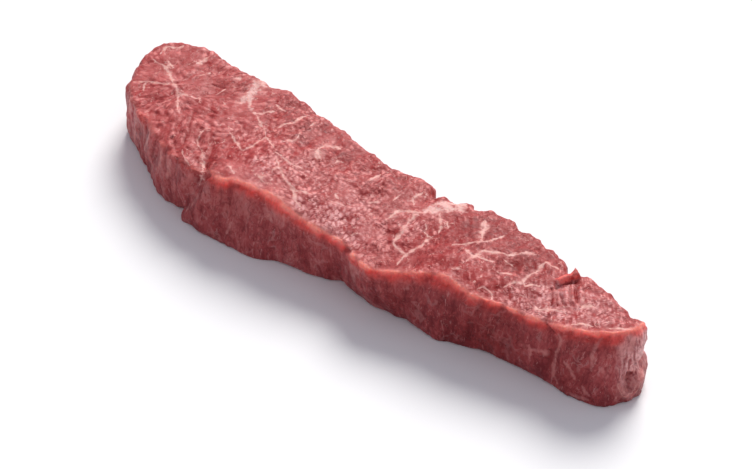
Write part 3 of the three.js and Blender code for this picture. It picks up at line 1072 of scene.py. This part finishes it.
class Meat(Tree):
    """Raw beef's material, with the noises that several of its colours share."""

    def __init__(self):
        super().__init__("raw_beef")
        place = self.add("TexCoord").outputs["Object"]
        self.grain = self.scaled(place, (1 / MM, 1 / MM, 1 / MM))
        self.fine = self.noise(self.grain, 0.9, detail=1.0)
        self.speck = self.noise(self.grain, 0.62, detail=1.0)
        self.patches = self.noise(self.grain, 0.13, detail=3.0, rough=0.6)
        self.blots = self.noise(self.grain, 0.4)
        self.slit = self.noise(self.scaled(self.grain, (1.0, 1.0, 0.17)), 1.0, distortion=0.3)
        self.tone = self.attribute("tone")
        self.strand = self.in_bundle(1.1, 0.32, 9.0, detail=2.0)

    def in_bundle(self, across, along, tone, detail):
        """Noise that is drawn out along each bundle and differs from one to the next."""
        x = self.times(self.attribute("across"), across)
        y = self.times(self.attribute("along"), along)
        return self.noise(self.vector(x, y, self.times(self.tone, tone)), 1.0, detail=detail)


def top_colour(t):
    """Cut fibre bundles on the top: pale middles, partly painted wet sheen, red edges, dark gaps."""
    axes = {"Vector": t.grain, "Angle": -VIEW_TURN}
    turned = t.add("VectorRotate", axes, rotation_type="Z_AXIS").outputs[0]
    fibre = t.noise(t.scaled(turned, (0.85, 0.2, 0.2)), 1.0, detail=1.0, distortion=0.3)
    milk, crack, calm = t.attribute("milk"), t.attribute("crack"), t.attribute("calm")
    streaks, lobe = t.attribute("streaks"), t.attribute("lobe")
    shared = [(t.patches, 0.9), (milk, 0.5)]
    fibrous = t.times(t.math("SUBTRACT", fibre, 0.46), streaks)
    specks = (t.speck, t.span(streaks, 0.0, 1.0, 1.1, 0.7))
    pale = t.total((t.tone, 0.45), specks, (t.strand, 0.4), (fibre, 0.6), *shared, (fibrous, 1.5))
    flecked = t.total((fibre, 0.5), (t.speck, 0.3), (t.fine, 0.2))
    flecked = t.times(t.span(flecked, 0.47, 0.62, 0.0, 0.62), streaks)
    pale = t.math("MAXIMUM", t.span(pale, 1.46, 2.16), flecked)
    shared = [(t.blots, 0.4), (t.patches, 0.7), (milk, 0.5)]
    lobe_pale = t.total((t.tone, 0.5), (t.speck, 0.8), (t.strand, 0.7), *shared)
    lobe_pale = t.span(lobe_pale, 1.0, 2.15)
    pale = t.total((pale, t.math("SUBTRACT", 1.0, lobe)), (lobe_pale, lobe))
    pale = t.times(pale, t.span(crack, 0.05, 0.4, 0.35, 1.0))
    even = t.math("SUBTRACT", t.span(t.patches, 0.3, 0.7, 0.2, 0.6), pale)
    pale = t.math("ADD", pale, t.times(even, t.times(calm, 0.5)))
    # The pale share lays the pale middles, partly painted sheen, and the painted sheen spots over the lean
    # red
    colour = t.mix(pale, LEAN, t.mix(t.span(milk, 0.0, 0.6), BLOOM_AND_SHEEN, PAINTED_SHEEN))
    dark = t.times(t.span(crack, 0.3, 0.06), t.span(t.blots, 0.6, 0.4))
    softer = t.times(t.span(calm, 0.0, 1.0, 0.8, 0.3), t.span(lobe, 0.0, 1.0, 1.0, 0.7))
    return t.paint(colour, dark, softer, GAP)


def side_colour(t):
    """Drawn-out fibres on the sides, lighter towards the top, with seams and threads between them."""
    cloudy = t.noise(t.scaled(t.grain, (1.0, 1.0, 0.45)), 0.34)
    warp = t.noise(t.grain, 0.25, detail=1.0, output="Color")
    inputs = {0: warp, 1: (6, 6, 6), 2: t.scaled(t.grain, (1.0, 1.0, 0.55))}
    warped = t.add("VectorMath", inputs, operation="MULTIPLY_ADD").outputs[0]
    cells = {"Vector": warped, "Scale": 0.2}
    facet = t.add("TexVoronoi", cells).outputs["Color"]
    web = t.add("TexVoronoi", cells, feature="DISTANCE_TO_EDGE").outputs["Distance"]
    along_x = t.add("SeparateXYZ", {"Vector": t.grain}).outputs["X"]
    streak = t.total(
        (t.tone, 0.2), (t.strand, 1.1), (t.fine, 0.35), (t.patches, 0.6), (cloudy, 0.35),
        (facet, 0.4), (t.attribute("height"), 0.2), (t.attribute("pleat"), 0.22),
        (t.span(along_x, -40.0, 60.0, 0.07, -0.1), 1.0))
    colour = t.mix(t.span(streak, 1.12, 1.68), SIDE_DEEP, SIDE_LEAN)
    colour = t.mix(t.span(streak, 1.58, 1.98), colour, SIDE_STREAK)
    fleck = t.in_bundle(2.2, 0.26, 5.0, detail=1.0)
    colour = t.paint(colour, t.span(fleck, 0.62, 0.72), 0.75, FLECK)
    chop = t.noise(t.grain, 0.16, detail=1.0)
    seams = t.times(t.span(web, 0.1, 0.01), t.span(chop, 0.46, 0.56))
    colour = t.paint(colour, seams, 0.5, SIDE_DEEP)
    threads = t.times(t.span(web, 0.12, 0.01), t.span(chop, 0.45, 0.38))
    return t.paint(colour, threads, 0.38, FLECK)


def end_colour(t):
    """The narrow end's pale upright stripes."""
    striped = t.total((t.slit, 1.3), (t.fine, 0.6), (t.patches, 0.7), (t.blots, 0.4))
    return t.mix(t.span(striped, 1.12, 1.82), END_DEEP, END_PALE)


def add_threads(t, colour, top):
    """Short pale threads among the bundles."""
    ridge = t.contour(t.noise(t.grain, 0.26, distortion=0.6), 0.016, 0.003)
    chopped = t.span(t.noise(t.grain, 0.42, detail=1.0), 0.53, 0.6)
    thread = t.times(ridge, chopped, t.span(top, 0.0, 1.0, 0.25, 1.0))
    return t.paint(colour, thread, 0.55, VEIN)


def cracks(t):
    """Short dark cracks between the bundles."""
    split = t.noise(t.scaled(t.grain, (1.0, 1.0, 0.4)), 0.2, distortion=1.2)
    chopped = t.span(t.noise(t.grain, 0.3, detail=1.0), 0.5, 0.58)
    return t.times(t.contour(split, 0.02, 0.004), chopped)


def add_shades(t, colour):
    """Broad darker and paler places: uneven tone, painted shade in the seam, foot and end hollow, and
    painted sheen.
    """
    shade = t.attribute("shade")
    reds = t.total((shade, SHADE_REDS), (1.0, 1.0))
    others = t.total((shade, SHADE_OTHERS), (1.0, 1.0))
    return t.scaled(colour, t.vector(reds, others, others))


def add_glow(t, colour):
    """Painted glow of light through the rim, with painted highlights on its crest and lip; also gives the
    glow's share, which the shader scatters by.
    """
    uneven = t.span(t.total((t.slit, 0.6), (t.fine, 0.4)), 0.35, 0.6, 0.72, 1.0)
    glow = t.times(t.attribute("rim"), uneven)
    colour = t.paint(colour, t.times(t.attribute("lip"), uneven), 0.5, PAINTED_TOP_LIP_HIGHLIGHT)
    return t.mix(glow, colour, t.mix(t.attribute("crest"), PAINTED_RIM_GLOW, PAINTED_EDGE_HIGHLIGHT)), glow


def add_flake(t, colour):
    """The raw red flake, brightened with painted glow of light through it, with its paler tip."""
    red = t.mix(t.span(t.speck, 0.4, 0.62), FLAKE_RED_AND_GLOW, FLAKE_DEEP)
    high = t.add("SeparateXYZ", {"Vector": t.grain}).outputs["Z"]
    red = t.mix(t.span(high, 26.2, 28.6, 0.0, 0.8), red, VEIN_EDGE)
    return t.paint(colour, t.attribute("flake"), 0.85, red)


def add_lines(t, colour):
    """Placed veins and painted rim highlights, faint lines, fat, and painted shade in the tears."""
    wobble = t.times(t.math("SUBTRACT", t.speck, 0.5), 2.8)
    swell = t.span(t.noise(t.grain, 0.4, detail=1.0), 0.3, 0.7, 1.5, 0.6)
    broken = t.span(t.noise(t.grain, 0.5), 0.34, 0.58, 0.55, 1.0)
    edge = t.times(t.math("ABSOLUTE", t.attribute("vein_side")), swell)
    edge = t.math("ADD", edge, wobble)
    ends = t.span(t.attribute("vein_near"), 3.2, 1.6)
    colour = t.paint(colour, t.times(t.span(edge, 2.3, 0.5), ends), 0.5, VEIN_EDGE)
    colour = t.paint(colour, t.times(t.span(edge, 1.2, 0.1), ends, broken), 0.85, VEIN)
    faint = t.span(t.math("ADD", t.attribute("faint_near"), wobble), 2.6, 0.2)
    colour = t.paint(colour, t.times(faint, broken), 0.6, VEIN_EDGE)
    spots = t.times(t.math("SUBTRACT", t.blots, 0.5), 2.6)
    fat = t.math("ADD", t.math("ADD", t.attribute("fat_near"), wobble), spots)
    colour = t.paint(colour, t.span(fat, 2.3, 0.7), 0.7, VEIN_EDGE)
    colour = t.paint(colour, t.span(fat, 1.5, 0.1), 0.85, FAT_PALE)
    # Painted shade in the creases and tears, darkest in the slits
    tear = t.attribute("tear")
    colour = t.paint(colour, t.math("MINIMUM", tear, 1.0), TEAR_SHADE_STRENGTH, DEEP)
    return t.mix(t.span(tear, 0.7, 1.7, 0.0, 0.95), colour, SLIT)


def meat_material():
    t = Meat()
    top, end = t.attribute("top"), t.attribute("end")
    colour = t.mix(end, side_colour(t), end_colour(t))
    colour = t.mix(top, colour, top_colour(t))
    colour = add_threads(t, colour, top)
    split = cracks(t)
    colour = t.paint(colour, split, 0.55, DEEP)
    colour, glow = add_glow(t, add_shades(t, colour))
    colour = add_lines(t, add_flake(t, colour))
    stripes = t.times(t.slit, end)
    height = t.total((t.strand, 0.6), (t.fine, 0.5), (t.speck, 0.6), (split, -0.6), (stripes, 0.6))
    bump = t.add("Bump", {"Height": height, "Strength": BUMP_STRENGTH, "Distance": BUMP_DEPTH})
    sockets = t.shader.inputs
    t.feed(sockets["Base Color"], colour)
    t.feed(sockets["Roughness"], t.span(t.fine, 0.3, 0.7, 0.52, 0.38))
    t.feed(sockets["Normal"], bump.outputs["Normal"])
    t.feed(sockets["Subsurface Weight"], t.span(glow, 0.0, 0.7, 0.2, 0.95))
    sockets["Specular IOR Level"].default_value = SPECULAR
    sockets["Subsurface Radius"].default_value = GLOW_RADIUS
    sockets["Subsurface Scale"].default_value = GLOW_DEPTH
    return t.material


def add_steak():
    mesh = even_mesh(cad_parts["steak"])
    mesh.name = "steak_meat"
    shape_skin(Skin(mesh))
    join_flat_faces(mesh)
    mesh.polygons.foreach_set("use_smooth", [True] * len(mesh.polygons))
    steak = bpy.data.objects.new("steak_meat", mesh)
    bpy.context.scene.collection.objects.link(steak)
    mesh.materials.append(meat_material())
    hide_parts("steak")
    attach(steak, "root")


# Floor and light
FLOOR_SIZE = 6.0
FLOOR_CELLS = 4
FLOOR_COLOUR = (0.90, 0.90, 0.90, 1)
FLOOR_ROUGH = 0.7
WORLD_COLOUR = (0.94, 0.95, 1.07, 1)
WORLD_STRENGTH = 0.47
KEY_STRENGTH = 3.4
KEY_COLOUR = (1.0, 0.98, 0.95)
KEY_ANGLE = math.radians(30)
KEY_TURN = math.radians(18)
KEY_HEIGHT = math.radians(41)


def add_floor():
    cells = {"x_subdivisions": FLOOR_CELLS, "y_subdivisions": FLOOR_CELLS}
    bpy.ops.mesh.primitive_grid_add(size=FLOOR_SIZE, **cells)
    floor = bpy.context.object
    floor.name = "floor"
    pale = Tree("floor_pale")
    pale.shader.inputs["Base Color"].default_value = FLOOR_COLOUR
    pale.shader.inputs["Roughness"].default_value = FLOOR_ROUGH
    floor.data.materials.append(pale.material)


def add_light():
    world = bpy.data.worlds.new("studio")
    bpy.context.scene.world = world
    world.use_nodes = True
    background = world.node_tree.nodes["Background"]
    background.inputs["Color"].default_value = WORLD_COLOUR
    background.inputs["Strength"].default_value = WORLD_STRENGTH
    data = bpy.data.lights.new("key", "SUN")
    data.energy = KEY_STRENGTH
    data.angle = KEY_ANGLE
    data.color = KEY_COLOUR
    key = bpy.data.objects.new("key", data)
    turn = VIEW_TURN - KEY_TURN
    from_sky = Vector((-math.sin(turn), math.cos(turn), math.tan(KEY_HEIGHT)))
    key.rotation_euler = from_sky.to_track_quat("Z", "Y").to_euler()
    bpy.context.scene.collection.objects.link(key)
    bpy.context.scene.view_settings.view_transform = "Standard"


add_camera()
add_steak()
add_floor()
add_light()
